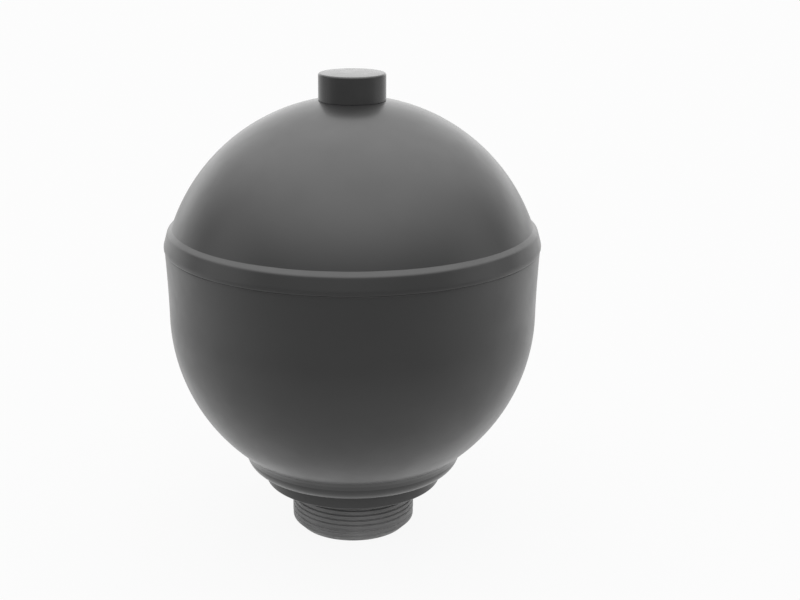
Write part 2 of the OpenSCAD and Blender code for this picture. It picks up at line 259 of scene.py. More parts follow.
@dataclass(frozen=True)
class Finish:
    """Look of one kind of surface.

    Attributes:
        name: Name of the material.
        slot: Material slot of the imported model.
        dark: Darkest grey of the base colour, linear.
        light: Lightest grey of the base colour, linear.
        smooth: Lowest roughness.
        rough: Highest roughness.
        specular: Specular level of the shader.
        grain: Length of one grain.
        relief: Height of the grain or of the tool marks.
    """

    name: str
    slot: Slot
    dark: float
    light: float
    smooth: float
    rough: float
    specular: float
    grain: float
    relief: float

    def material(self) -> bpy.types.Material:
        """Return the finish as a material, built once."""
        return bpy.data.materials.get(self.name) or self.build().material

    def height(self, shading: Shading) -> bpy.types.NodeSocket:
        """Return the height field of the surface, here its grain."""
        return shading.noise(self.grain)

    def build(self) -> Shading:
        """Build the nodes that all finishes share: tone, gloss and relief.

        Returns:
            The finished shading.
        """
        shading = Shading(self.name)
        shading.set(
            Base_Color=shading.between(TONE_PATCH * self.grain, self.dark, self.light),
            Roughness=shading.between(GLOSS_PATCH * self.grain, self.smooth, self.rough),
            Specular_IOR_Level=self.specular,
        )
        shading.bump(self.height(shading), self.relief)
        return shading


@dataclass(frozen=True)
class Lacquer(Finish):
    """Paint whose closed skin is smoother than the body below it.

    Attributes:
        skin: Weight of the skin's own reflection.
        skin_rough: Roughness of the skin.
    """

    skin: float
    skin_rough: float

    def build(self) -> Shading:
        """Add the skin's own reflection.

        Returns:
            The finished shading.
        """
        shading = super().build()
        shading.set(Coat_Weight=self.skin, Coat_Roughness=self.skin_rough)
        return shading


@dataclass(frozen=True)
class Metal(Finish):
    """Bare metal, with circular tool marks where it was turned.

    Attributes:
        mark_spacing: Spacing of the tool marks, or 0 where there are none.
    """

    mark_spacing: float = 0.0

    def height(self, shading: Shading) -> bpy.types.NodeSocket:
        """Return the tool marks where the metal was turned, and otherwise its grain."""
        return shading.turned(self.mark_spacing) if self.mark_spacing else super().height(shading)

    def build(self) -> Shading:
        """Add the metal's own reflection.

        Returns:
            The finished shading.
        """
        shading = super().build()
        shading.set(Metallic=1.0)
        return shading


PAINT = Lacquer(
    "satin_paint", Slot.PAINT, dark=0.014, light=0.018, smooth=0.42, rough=0.50,
    specular=0.3, grain=1.3, relief=0.003, skin=0.6, skin_rough=0.24,
)
PHOSPHATE = Finish(
    "phosphated_steel", Slot.STEEL, dark=0.14, light=0.175, smooth=0.42, rough=0.55,
    specular=0.5, grain=0.25, relief=0.006,
)
PLASTIC = Finish(
    "moulded_plastic", Slot.PLASTIC, dark=0.018, light=0.024, smooth=0.22, rough=0.25,
    specular=0.45, grain=0.35, relief=0.0015,
)
RUBBER = Finish(
    "membrane_rubber", Slot.RUBBER, dark=0.012, light=0.017, smooth=0.55, rough=0.70,
    specular=0.4, grain=0.5, relief=0.01,
)
SEAL = Finish(
    "seal_rubber", Slot.SEAL_RUBBER, dark=0.035, light=0.050, smooth=0.45, rough=0.60,
    specular=0.4, grain=0.4, relief=0.008,
)
STEEL = Metal(
    "turned_steel", Slot.STEEL, dark=0.42, light=0.50, smooth=0.24, rough=0.34,
    specular=0.5, grain=0.6, relief=0.006, mark_spacing=0.25,
)
ZINC = Metal(
    "zinc_plate", Slot.ZINC, dark=0.52, light=0.62, smooth=0.26, rough=0.38,
    specular=0.5, grain=0.4, relief=0.003,
)
SPRING = Metal(
    "spring_steel", Slot.SPRING_STEEL, dark=0.22, light=0.28, smooth=0.20, rough=0.30,
    specular=0.5, grain=0.5, relief=0.002,
)


@dataclass(frozen=True)
class Span:
    """Reach of a CAD node at rest."""

    radius: float
    low: float
    high: float

    @classmethod
    def of(cls, node: str) -> Span:
        """Read the reach of a node from the frame.

        Args:
            node: Name of the CAD node.

        Returns:
            Its outside radius and its lowest and highest height.
        """
        low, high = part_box(node)
        return cls(high.x / MM, low.z / MM, high.z / MM)


@dataclass(frozen=True)
class Corner:
    """Corner of a turned section: radius, height and the rounding that breaks it."""

    r: float
    z: float
    rounding: float = 0.0


def arc(centre_z: float, radius: float, start_r: float, end_r: float, lower: bool) -> list[Corner]:
    """Sample a circle round a point of the axis.

    Args:
        centre_z: Height of the circle's centre.
        radius: Radius of the circle.
        start_r: Distance from the axis at which the arc starts.
        end_r: Distance from the axis at which it ends.
        lower: Whether the arc lies below its centre.

    Returns:
        Corners without rounding, both ends included.
    """
    start, end = (math.asin(min(1.0, r / radius)) for r in (start_r, end_r))
    count = max(3, round(abs(end - start) / ARC_STEP))
    side = -1 if lower else 1
    return [
        Corner(radius * math.sin(a), centre_z + side * radius * math.cos(a))
        for a in np.linspace(start, end, count)
    ]


def section(corners: Sequence[Corner], on_axis: bool = False) -> np.ndarray:
    """Turn corners into a polyline whose corners are rounded.

    Args:
        corners: Corners in order round the section.
        on_axis: Whether the section starts and ends on the axis instead of closing on itself.

    Returns:
        Radius and height of each point.
    """
    points: list[np.ndarray] = []
    last = len(corners) - 1
    for i, corner in enumerate(corners):
        here = np.array([corner.r, corner.z])
        if corner.rounding <= 0 or (on_axis and i in (0, last)):
            points.append(here)
            continue
        before = corners[i - 1]
        after = corners[(i + 1) % len(corners)]
        back = np.array([before.r, before.z]) - here
        ahead = np.array([after.r, after.z]) - here
        reach = ROUND_SHARE * min(np.hypot(*back), np.hypot(*ahead))
        back /= np.hypot(*back)
        ahead /= np.hypot(*ahead)
        half = math.acos(float(np.clip(back @ ahead, -1, 1))) / 2
        if half > STRAIGHT:
            points.append(here)
            continue
        tangent = min(reach, corner.rounding / math.tan(half))
        radius = tangent * math.tan(half)
        middle = (back + ahead) / np.hypot(*(back + ahead))
        centre = here + middle * radius / math.sin(half)
        turn = math.pi - 2 * half
        steps = max(2, math.ceil(turn / ROUND_STEP))
        along = (back - ahead) / np.hypot(*(back - ahead))
        for a in np.linspace(turn / 2, -turn / 2, steps + 1):
            points.append(centre + radius * (along * math.sin(a) - middle * math.cos(a)))
    return np.array(points)


def refine(line: np.ndarray, step: float) -> np.ndarray:
    """Divide the long stretches of a section.

    Args:
        line: Radius and height of the section's points.
        step: Longest stretch that stays whole.

    Returns:
        The section with the added points.
    """
    points = [line[0]]
    for a, b in zip(line, line[1:]):
        count = max(1, math.ceil(float(np.hypot(*(b - a))) / step))
        points.extend(a + (b - a) * share for share in np.linspace(0, 1, count + 1)[1:])
    return np.array(points)


def empty_object(name: str) -> bpy.types.Object:
    """Add an object with an empty mesh to the scene.

    Args:
        name: Name of the object and of its mesh.

    Returns:
        The object.
    """
    obj = bpy.data.objects.new(name, bpy.data.meshes.new(name))
    bpy.context.scene.collection.objects.link(obj)
    return obj


def shade(mesh: bpy.types.Mesh) -> None:
    """Shade a mesh smoothly between its sharp edges."""
    mesh.shade_smooth()
    mesh.set_sharp_from_angle(angle=SHARP_EDGE)


def mesh_object(name: str, vertices: np.ndarray, faces: list[tuple[int, ...]]) -> bpy.types.Object:
    """Make an object of a closed mesh whose faces point outwards.

    Args:
        name: Name of the piece.
        vertices: Points in metres.
        faces: Corner indices of each face.

    Returns:
        The new object.
    """
    volume = 0.0
    for face in faces:
        a = vertices[face[0]]
        for second, third in zip(face[1:], face[2:]):
            volume += float(a @ np.cross(vertices[second], vertices[third]))
    if volume < 0:
        faces = [face[::-1] for face in faces]
    obj = empty_object(name)
    obj.data.from_pydata(vertices.tolist(), [], faces)
    shade(obj.data)
    return obj


def revolve(name: str, line: np.ndarray, on_axis: bool = False) -> bpy.types.Object:
    """Turn a section round the axis into a closed piece.

    Args:
        name: Name of the piece.
        line: Radius and height of the section's points.
        on_axis: Whether the section starts and ends on the axis.

    Returns:
        The new object.
    """
    angles = np.linspace(0, 2 * math.pi, SEGMENTS, endpoint=False)
    vertices: list[list[float]] = []
    rows: list[list[int]] = []
    for r, z in line * MM:
        start = len(vertices)
        if on_axis and r < ON_AXIS:
            vertices.append([0.0, 0.0, z])
            rows.append([start] * SEGMENTS)
        else:
            vertices.extend([r * math.cos(a), r * math.sin(a), z] for a in angles)
            rows.append(list(range(start, start + SEGMENTS)))
    pairs = list(zip(rows, rows[1:]))
    if not on_axis:
        pairs.append((rows[-1], rows[0]))
    faces = []
    for low, high in pairs:
        for i in range(SEGMENTS):
            j = (i + 1) % SEGMENTS
            ring = dict.fromkeys((low[i], low[j], high[j], high[i]))
            if len(ring) > 2:
                faces.append(tuple(ring))
    return mesh_object(name, np.array(vertices), faces)


class Growth(Graph):
    """Geometry Nodes tree with named inputs, whose result becomes a plain mesh."""

    def __init__(self, name: str, sizes: dict[str, float | int]) -> None:
        """Start a tree.

        Args:
            name: Name of the tree.
            sizes: Named inputs and their values.
        """
        tree = bpy.data.node_groups.new(name, "GeometryNodeTree")
        super().__init__(tree)
        tree.interface.new_socket("Geometry", in_out="INPUT", socket_type="NodeSocketGeometry")
        tree.interface.new_socket("Geometry", in_out="OUTPUT", socket_type="NodeSocketGeometry")
        self.sizes = sizes
        for label, value in sizes.items():
            kind = "NodeSocketInt" if isinstance(value, int) else "NodeSocketFloat"
            tree.interface.new_socket(label, in_out="INPUT", socket_type=kind)
        self.given = self.add("NodeGroupInput").outputs

    def run(self, obj: bpy.types.Object, result: bpy.types.NodeSocket, finish: Finish) -> bpy.types.Object:
        """End the tree, run it on an object and keep the result as the object's mesh.

        Args:
            obj: Object that carries the tree while it runs.
            result: Geometry to end with.
            finish: Finish of the result.

        Returns:
            The same object.
        """
        real = self.add("GeometryNodeRealizeInstances", {0: result})
        inputs = {"Geometry": real.outputs[0], "Material": finish.material()}
        dressed = self.add("GeometryNodeSetMaterial", inputs)
        self.add("NodeGroupOutput", {0: dressed.outputs[0]})
        modifier = obj.modifiers.new(self.tree.name, "NODES")
        modifier.node_group = self.tree
        for item in self.tree.interface.items_tree:
            if item.in_out == "INPUT" and item.name in self.sizes:
                modifier[item.identifier] = self.sizes[item.name]
        seen = obj.evaluated_get(bpy.context.evaluated_depsgraph_get())
        mesh = bpy.data.meshes.new_from_object(seen)
        obj.modifiers.remove(modifier)
        obj.data = mesh
        shade(mesh)
        return obj


def dress(obj: bpy.types.Object, finish: Finish, body: Body, *nodes: str) -> None:
    """Finish a piece and let it ride on a body.

    Args:
        obj: The piece.
        finish: Its surface.
        body: Body that it moves with.
        nodes: CAD nodes that it stands for.
    """
    obj.data.materials.clear()
    obj.data.materials.append(finish.material())
    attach(obj, body.value)
    if nodes:
        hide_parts(*nodes)
    LOG.info("%s: %s on %s, %d faces", obj.name, finish.name, body.value, len(obj.data.polygons))


def repaint(nodes: dict[str, bpy.types.Object], finish: Finish, *names: str) -> None:
    """Give CAD nodes that stay a finish.

    Args:
        nodes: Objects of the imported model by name.
        finish: Surface of the nodes.
        names: Names of the nodes.
    """
    for name in names:
        for slot in nodes[name].material_slots:
            slot.material = finish.material()
        LOG.info("%s: %s on its own solid", name, finish.name)


@dataclass
class Vessel:
    """Drawn bowl and pressed dome, which the weld belt joins."""

    shell_radius: float = 50.5
    shell_wall: float = 3.6
    neck_hole: float = 19.6
    wall_start: float = 0.05
    wall_curve: float = 1.6
    wall_points: int = 14
    rim_radius: float = 51.3
    rim_round: float = 0.8
    rim_lip: float = 0.02
    rim_lift: float = 0.2
    groove_radius: float = 50.45
    groove_lift: float = 0.5
    bevel: float = 1.6
    seat_radius: float = 48.2
    seat_round: float = 0.4
    ledge_drop: float = 6.5
    ledge_round: float = 0.3
    dome_radius: float = 52.204
    dome_wall: float = 3.6
    dome_step: float = 0.9
    valve_hole: float = 7.9
    bowl: Span = field(default_factory=lambda: Span.of("lower_shell"))
    dome: Span = field(default_factory=lambda: Span.of("upper_shell"))
    belt: Span = field(default_factory=lambda: Span.of("girth_weld"))

    @property
    def bowl_centre(self) -> float:
        """Height of the bowl's centre."""
        return self.bowl.low + math.sqrt(self.shell_radius**2 - self.neck_hole**2)

    @property
    def bowl_inside(self) -> float:
        """Inside radius of the bowl."""
        return self.shell_radius - self.shell_wall

    @property
    def dome_centre(self) -> float:
        """Height of the dome's centre."""
        return self.dome.high - math.sqrt(self.dome_radius**2 - self.valve_hole**2)

    def wall(self) -> list[Corner]:
        """Draw the outside of the wall, which leaves the bowl smoothly and flares to the rim.

        Returns:
            Corners from the bowl up to the rim.
        """
        top = self.belt.low - self.rim_round
        height = self.bowl.high - self.bowl_centre
        grow = self.rim_radius - self.shell_radius
        shares = np.linspace(self.wall_start, (top - self.bowl_centre) / height, self.wall_points)
        return [
            Corner(self.shell_radius + grow * s**self.wall_curve, self.bowl_centre + height * s)
            for s in shares
        ]

    def build_bowl(self) -> bpy.types.Object:
        """Build the drawn bowl with its bead ledge and the rounded rim below the belt.

        Returns:
            The bowl.
        """
        inner = self.bowl_inside
        joint = self.bowl.high
        ledge = joint - self.ledge_drop
        wall = self.wall()
        corners = [
            *arc(self.bowl_centre, self.shell_radius, self.neck_hole, self.shell_radius, True),
            *wall,
            Corner(wall[-1].r + self.rim_lip, self.belt.low + self.rim_lift, self.rim_round),
            Corner(self.groove_radius, self.belt.low + self.groove_lift),
            Corner(self.rim_radius - self.bevel, joint),
            Corner(self.seat_radius, joint),
            Corner(self.seat_radius, ledge, self.seat_round),
            Corner(inner, ledge, self.ledge_round),
            *arc(self.bowl_centre, inner, inner, self.neck_hole, True),
        ]
        return revolve("bowl", section(corners))

    def build_dome(self) -> bpy.types.Object:
        """Build the pressed dome.

        Returns:
            The dome.
        """
        joint = self.dome.low
        centre = self.dome_centre
        inner = self.dome_radius - self.dome_wall
        edge = math.sqrt(self.dome_radius**2 - (joint + self.bevel - centre) ** 2)
        inner_edge = math.sqrt(inner**2 - (joint - centre) ** 2)
        corners = [
            *arc(centre, inner, self.valve_hole, inner_edge, False),
            Corner(edge - self.bevel, joint),
            *arc(centre, self.dome_radius, edge, self.valve_hole, False),
        ]
        return revolve("dome", section(corners))

    def build(self) -> None:
        """Build and dress the two shells."""
        dress(self.build_bowl(), PAINT, Body.VESSEL, "lower_shell")
        dress(self.build_dome(), PAINT, Body.VESSEL, "upper_shell")


@dataclass
class WeldBelt:
    """Weld belt round the joint of the shells, with the waves that welding leaves."""

    root_lift: float = 0.25
    toe_inset: float = 0.1
    toe_lift: float = 0.1
    toe_round: float = 0.45
    widest_drop: float = 0.7
    crown_round: float = 9.0
    shoulder_fall: float = 1.1
    shoulder_rise: float = 3.15
    shoulder_round: float = 1.2
    reach: float = 4.3
    overlap: float = 0.05
    cover: float = 0.6
    cover_drop: float = 0.5
    depth: float = 0.4
    mesh_step: float = 0.5
    ripple: float = 0.08
    ripple_length: float = 7.0
    ripple_detail: float = 1.0
    ripple_seed: float = 3.7

    def build_band(self, vessel: Vessel) -> bpy.types.Object:
        """Build the smooth band.

        Args:
            vessel: Vessel whose shells the belt joins.

        Returns:
            The band.
        """
        out, low, joint = vessel.belt.radius, vessel.belt.low, vessel.bowl.high
        top = joint + self.reach
        on_dome = math.sqrt(vessel.dome_radius**2 - (top - vessel.dome_centre) ** 2)
        corners = [
            Corner(vessel.groove_radius, low + self.root_lift),
            Corner(out - self.toe_inset, low + self.toe_lift, self.toe_round),
            Corner(out, joint - self.widest_drop, self.crown_round),
            Corner(out - self.shoulder_fall, joint + self.shoulder_rise, self.shoulder_round),
            Corner(on_dome - self.overlap, top),
            Corner(on_dome - self.cover, top - self.cover_drop),
            Corner(on_dome - self.depth, joint + vessel.bevel),
            Corner(vessel.rim_radius - vessel.dome_step - vessel.bevel, joint),
        ]
        return revolve("weld_belt", refine(section(corners), self.mesh_step))

    def roughen(self, band: bpy.types.Object) -> bpy.types.Object:
        """Sink the band's surface in soft waves.

        Args:
            band: The smooth band.

        Returns:
            The same object.
        """
        sizes = {
            "Depth": self.ripple * MM,
            "Scale": 1 / (self.ripple_length * MM),
            "Detail": self.ripple_detail,
            "Seed": self.ripple_seed,
        }
        tree = Growth("weld_ripple", sizes)
        given = tree.given
        noise = tree.add(
            "ShaderNodeTexNoise",
            {"Scale": given["Scale"], "Detail": given["Detail"], "W": given["Seed"]},
            noise_dimensions="4D",
        )
        sink = tree.math("MULTIPLY", tree.math("SUBTRACT", noise.outputs["Fac"], 1.0), given["Depth"])
        normal = tree.add("GeometryNodeInputNormal").outputs[0]
        offset = tree.add("ShaderNodeVectorMath", {0: normal, "Scale": sink}, operation="SCALE").outputs[0]
        moved = tree.add("GeometryNodeSetPosition", {"Geometry": given["Geometry"], "Offset": offset})
        return tree.run(band, moved.outputs[0], PAINT)

    def build(self, vessel: Vessel) -> None:
        """Build and dress the belt."""
        dress(self.roughen(self.build_band(vessel)), PAINT, Body.VESSEL, "girth_weld")


@dataclass
class Thread:
    """Fine thread of the neck's shank."""

    radius: float = 17.38
    start: float = 2.7
    end: float = 11.2
    pitch: float = 1.5
    depth: float = 0.42
    root_width: float = 1.4
    crest_width: float = 0.9
    ridge_lift: float = 0.2
    fade_turns: float = 0.5
    least_share: float = 0.02
    steps_per_turn: int = 160

    @property
    def root(self) -> float:
        """Radius at the root of the thread."""
        return self.radius - self.depth

    def sizes(self) -> dict[str, float | int]:
        """List the sizes that the thread's tree takes.

        Returns:
            Values by the names of the inputs.
        """
        low = self.start + self.ridge_lift
        turns = (self.end - low) / self.pitch
        return {
            "Turns": turns,
            "Rise": turns * self.pitch * MM,
            "Start": low * MM,
            "Radius": self.root * MM,
            "Depth": self.depth * MM,
            "Root width": self.root_width * MM,
            "Crest width": self.crest_width * MM,
            "Fade": self.fade_turns / turns,
            "Least share": self.least_share,
            "Steps": self.steps_per_turn,
        }

    def helix(self, tree: Growth) -> bpy.types.NodeSocket:
        """Wind the curve that the ridge follows.

        Args:
            tree: Tree of the thread.

        Returns:
            The curve, with its normal kept level.
        """
        given = tree.given
        spiral = tree.add(
            "GeometryNodeCurveSpiral",
            {
                "Resolution": given["Steps"],
                "Rotations": given["Turns"],
                "Start Radius": given["Radius"],
                "End Radius": given["Radius"],
                "Height": given["Rise"],
            },
        )
        return tree.add("GeometryNodeSetCurveNormal", {"Curve": spiral.outputs[0]}, mode="Z_UP").outputs[0]

    def ridge(self, tree: Growth) -> bpy.types.NodeSocket:
        """Draw the section of the ridge, which stands on the root.

        Args:
            tree: Tree of the thread.

        Returns:
            The section as a closed curve.
        """
        given = tree.given
        wedge = tree.add(
            "GeometryNodeCurvePrimitiveQuadrilateral",
            {
                "Bottom Width": given["Root width"],
                "Top Width": given["Crest width"],
                "Height": given["Depth"],
                "Offset": 0.0,
            },
            mode="TRAPEZOID",
        ).outputs[0]
        lift = tree.add("ShaderNodeCombineXYZ", {"X": tree.math("MULTIPLY", given["Depth"], -0.5)}).outputs[0]
        turn = (0.0, 0.0, math.pi / 2)
        inputs = {"Geometry": wedge, "Rotation": turn, "Translation": lift}
        return tree.add("GeometryNodeTransform", inputs).outputs[0]

    def build(self) -> bpy.types.Object:
        """Wind the thread's ridge round the neck, fading at both ends.

        Returns:
            The thread.
        """
        tree = Growth("thread_ridge", self.sizes())
        given = tree.given
        along = tree.add("GeometryNodeSplineParameter").outputs["Factor"]
        rise = tree.math("DIVIDE", along, given["Fade"])
        fall = tree.math("DIVIDE", tree.math("SUBTRACT", 1.0, along), given["Fade"])
        full = tree.math("MINIMUM", tree.math("MINIMUM", rise, fall), 1.0)
        swept = tree.add(
            "GeometryNodeCurveToMesh",
            {
                "Curve": self.helix(tree),
                "Profile Curve": self.ridge(tree),
                "Scale": tree.math("MAXIMUM", full, given["Least share"]),
                "Fill Caps": True,
            },
        ).outputs[0]
        start = tree.add("ShaderNodeCombineXYZ", {"Z": given["Start"]}).outputs[0]
        placed = tree.add("GeometryNodeTransform", {"Geometry": swept, "Translation": start})
        return tree.run(empty_object("neck_thread"), placed.outputs[0], PHOSPHATE)


@dataclass
class NeckWeld:
    """Hollow fillet weld between the neck's flange and the bowl."""

    bite: float = 0.05
    bite_lift: float = 0.1
    toe: float = 0.02
    face: float = 0.55
    face_lift: float = 0.1
    face_round: float = 1.2
    feather: float = 0.01
    cover: float = 0.2
    cover_lift: float = 0.05
    root: float = 0.1
    root_lift: float = 0.2
    span: Span = field(default_factory=lambda: Span.of("neck_weld"))

    def build(self, vessel: Vessel, flange: float) -> bpy.types.Object:
        """Build the weld from its toe on the flange up to its thin edge on the bowl.

        Args:
            vessel: Vessel that the weld holds.
            flange: Outside radius of the flange.

        Returns:
            The weld.
        """
        centre, shell = vessel.bowl_centre, vessel.shell_radius
        low, top = self.span.low, self.span.high
        on_bowl = math.sqrt(shell**2 - (centre - top) ** 2)
        root_z = centre - math.sqrt(shell**2 - flange**2)
        corners = [
            Corner(flange - self.bite, low + self.bite_lift),
            Corner(flange + self.toe, low),
            Corner(flange + self.face, (low + top) / 2 + self.face_lift, self.face_round),
            Corner(on_bowl + self.feather, top),
            Corner(on_bowl - self.cover, top + self.cover_lift),
            Corner(flange - self.root, root_z + self.root_lift),
        ]
        return revolve("neck_weld", section(corners))


@dataclass
class Neck:
    """Threaded neck with its seal ring and the fillet weld to the bowl."""

    thread: Thread = field(default_factory=Thread)
    pilot_gap: float = 0.05
    pilot_round: float = 0.4
    chamfer: float = 1.95
    nose_round: float = 0.15
    run_in: float = 0.4
    run_out: float = 0.3
    relief_radius: float = 16.4
    relief_round: float = 0.2
    edge_break: float = 0.1
    fine_break: float = 0.05
    collar_z: float = 14.0
    collar_radius: float = 24.9
    collar_height: float = 3.8
    collar_round: float = 0.5
    collar_shoulder: float = 1.7
    waist_radius: float = 23.4
    waist_height: float = 0.3
    waist_round: float = 0.2
    flange_edge: float = 0.7
    flange_round: float = 4.5
    flange_turn: float = 72.0
    flange_points: int = 13
    seat_gap: float = 0.1
    seat_inset: float = 0.01
    spigot_radius: float = 19.5
    inner_round: float = 0.3
    bore_radius: float = 11.5
    mouth_chamfer: float = 1.0
    groove_low: float = 7.0
    groove_high: float = 8.2
    groove_radius: float = 12.35
    shoulder_z: float = 13.4
    chamber_radius: float = 10.2
    chamber_z: float = 18.25
    port_radius: float = 6.5
    seal_inner: float = 17.6
    seal_cone: float = 1.0
    seal_cone_height: float = 0.8
    seal_round: float = 0.15
    seal_cone_round: float = 0.2
    span: Span = field(default_factory=lambda: Span.of("threaded_neck"))
    seal: Span = field(default_factory=lambda: Span.of("seal_ring"))

    def build_body(self, vessel: Vessel) -> bpy.types.Object:
        """Build the painted body: collar, flange and spigot.

        Args:
            vessel: Vessel that the neck carries.

        Returns:
            The body.
        """
        top, flange = self.span.high, self.span.radius
        waist_z = self.collar_z + self.collar_height
        seat = vessel.shell_radius + self.seat_gap
        seat_z = vessel.bowl_centre - math.sqrt(seat**2 - flange**2)
        rim_z = seat_z - self.flange_edge
        bead = [
            Corner(flange + self.flange_round * (math.cos(a) - 1), rim_z - self.flange_round * math.sin(a))
            for a in np.linspace(math.radians(self.flange_turn), 0.0, self.flange_points)
        ]
        corners = [
            Corner(self.chamber_radius, self.collar_z),
            Corner(self.collar_radius, self.collar_z, self.collar_round),
            Corner(self.collar_radius, waist_z, self.collar_shoulder),
            Corner(self.waist_radius, waist_z, self.waist_round),
            Corner(self.waist_radius, waist_z + self.waist_height, self.waist_round),
            *bead,
            Corner(flange, seat_z),
            *arc(vessel.bowl_centre, seat, flange - self.seat_inset, self.spigot_radius, True),
            Corner(self.spigot_radius, top, self.inner_round),
            Corner(self.port_radius, top, self.inner_round),
            Corner(self.port_radius, self.chamber_z),
            Corner(self.chamber_radius, self.chamber_z, self.inner_round),
        ]
        return revolve("neck_body", section(corners))

    def build_shank(self) -> bpy.types.Object:
        """Build the bare shank with its bore, cut to the root of the thread.

        Returns:
            The shank.
        """
        thread = self.thread
        pilot = thread.radius - self.pilot_gap
        corners = [
            Corner(self.bore_radius + self.mouth_chamfer, 0.0, self.edge_break),
            Corner(pilot - self.chamfer, 0.0, self.nose_round),
            Corner(pilot, self.chamfer, self.pilot_round),
            Corner(pilot, thread.start, self.edge_break),
            Corner(thread.root, thread.start + self.run_in, self.edge_break),
            Corner(thread.root, thread.end, self.edge_break),
            Corner(self.relief_radius, thread.end + self.run_out, self.relief_round),
            Corner(self.relief_radius, self.collar_z),
            Corner(self.chamber_radius, self.collar_z),
            Corner(self.chamber_radius, self.shoulder_z, self.edge_break),
            Corner(self.bore_radius, self.shoulder_z, self.edge_break),
            Corner(self.bore_radius, self.groove_high, self.fine_break),
            Corner(self.groove_radius, self.groove_high, self.edge_break),
            Corner(self.groove_radius, self.groove_low, self.edge_break),
            Corner(self.bore_radius, self.groove_low, self.fine_break),
            Corner(self.bore_radius, self.mouth_chamfer, self.fine_break),
        ]
        return revolve("neck_shank", section(corners))

    def build_seal(self) -> bpy.types.Object:
        """Build the seal ring with its conical lower edge.

        Returns:
            The seal ring.
        """
        out, low, high = self.seal.radius, self.seal.low, self.seal.high
        corners = [
            Corner(self.seal_inner, low, self.seal_round),
            Corner(out - self.seal_cone, low, self.seal_cone_round),
            Corner(out, low + self.seal_cone_height, self.seal_cone_round),
            Corner(out, high, self.seal_round),
            Corner(self.seal_inner, high, self.seal_round),
        ]
        return revolve("neck_seal", section(corners))

    def build(self, vessel: Vessel) -> None:
        """Build and dress the neck's pieces.

        Args:
            vessel: Vessel that stands on the neck.
        """
        dress(self.build_body(vessel), PAINT, Body.VESSEL, "threaded_neck")
        dress(self.build_shank(), PHOSPHATE, Body.VESSEL)
        dress(self.thread.build(), PHOSPHATE, Body.VESSEL)
        dress(NeckWeld().build(vessel, self.span.radius), PAINT, Body.VESSEL, "neck_weld")
        dress(self.build_seal(), SEAL, Body.VESSEL, "seal_ring")


@dataclass
class GasValve:
    """Protective cap over the boss with the charging screw."""

    bore_radius: float = 7.88
    top_wall: float = 1.4
    ceiling_round: float = 0.4
    edge_round: float = 0.55
    skirt_inner: float = 0.25
    skirt_outer: float = 0.47
    skirt_round: float = 0.1
    cap: Span = field(default_factory=lambda: Span.of("gas_cap"))

    def build_cap(self) -> bpy.types.Object:
        """Build the moulded cap, whose skirt follows the dome.

        Returns:
            The cap.
        """
        out, low, high = self.cap.radius, self.cap.low, self.cap.high
        ceiling = high - self.top_wall
        corners = [
            Corner(0.0, ceiling),
            Corner(self.bore_radius, ceiling, self.ceiling_round),
            Corner(self.bore_radius, low - self.skirt_inner, self.skirt_round),
            Corner(out, low - self.skirt_outer),
            Corner(out, high, self.edge_round),
            Corner(0.0, high),
        ]
        return revolve("cap", section(corners, True), True)

    def build(self, nodes: dict[str, bpy.types.Object]) -> None:
        """Build and dress the valve's pieces.

        Args:
            nodes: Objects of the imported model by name.
        """
        dress(self.build_cap(), PLASTIC, Body.CAP, "gas_cap")
        repaint(nodes, STEEL, "gas_boss")
        repaint(nodes, ZINC, "charging_screw")
        repaint(nodes, SPRING, "screw_seal")


@dataclass
class Membrane:
    """Rubber membrane with the closing button that it carries."""

    gap: float = 0.3
    thickness: float = 2.4
    centre_thickness: float = 2.6
    stem_radius: float = 4.1
    bead_inner: float = 43.9
    bead_low: float = 77.55
    bead_round: float = 0.4
    bead_edge: float = 0.3
    bead_fillet: float = 0.6
    groove_radius: float = 46.0
    groove_half: float = 0.7
    groove_depth: float = 0.7
    groove_round: float = 0.1
    mesh_step: float = 1.5
    span: Span = field(default_factory=lambda: Span.of("diaphragm"))

    def bead(self) -> list[Corner]:
        """Draw the clamped bead with the groove in its upper face.

        Returns:
            Corners from the outside of the skin over the bead to its inside.
        """
        out, low, top = self.span.radius, self.bead_low, self.span.high
        groove_out = self.groove_radius + self.groove_half
        groove_in = self.groove_radius - self.groove_half
        groove_z = top - self.groove_depth
        return [
            Corner(out, low, self.bead_round),
            Corner(out, top, self.bead_edge),
            Corner(groove_out, top, self.groove_round),
            Corner(groove_out, groove_z, self.groove_round),
            Corner(groove_in, groove_z, self.groove_round),
            Corner(groove_in, top, self.groove_round),
            Corner(self.bead_inner, top, self.bead_round),
            Corner(self.bead_inner, low, self.bead_fillet),
        ]

    def build_skin(self, vessel: Vessel) -> bpy.types.Object:
        """Build the membrane, from its clamped bead down to the flat centre.

        Args:
            vessel: Vessel that holds the bead.

        Returns:
            The membrane.
        """
        centre = vessel.bowl_centre
        outer = vessel.bowl_inside - self.gap
        inner = outer - self.thickness
        flat = self.span.low
        lid = flat + self.centre_thickness
        outer_start = math.sqrt(outer**2 - (centre - flat) ** 2)
        inner_end = math.sqrt(inner**2 - (centre - lid) ** 2)
        corners = [
            Corner(self.stem_radius, flat),
            *arc(centre, outer, outer_start, outer, True),
            Corner(outer, self.bead_low, self.bead_edge),
            *self.bead(),
            *arc(centre, inner, inner, inner_end, True),
            Corner(self.stem_radius, lid),
        ]
        return revolve("membrane", refine(section(corners), self.mesh_step))

    def build(self, vessel: Vessel, nodes: dict[str, bpy.types.Object]) -> None:
        """Build and dress the membrane's pieces.

        Args:
            vessel: Vessel that holds the bead.
            nodes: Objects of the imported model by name.
        """
        skin = self.build_skin(vessel)
        skin.data.materials.append(RUBBER.material())
        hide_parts("diaphragm")
        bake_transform(skin)
        LOG.info("%s: %s between %s and %s", skin.name, RUBBER.name, Body.VESSEL.value, Body.BUTTON.value)
        repaint(nodes, STEEL, "clamp_ring", "closing_button")
        repaint(nodes, ZINC, "button_washer")


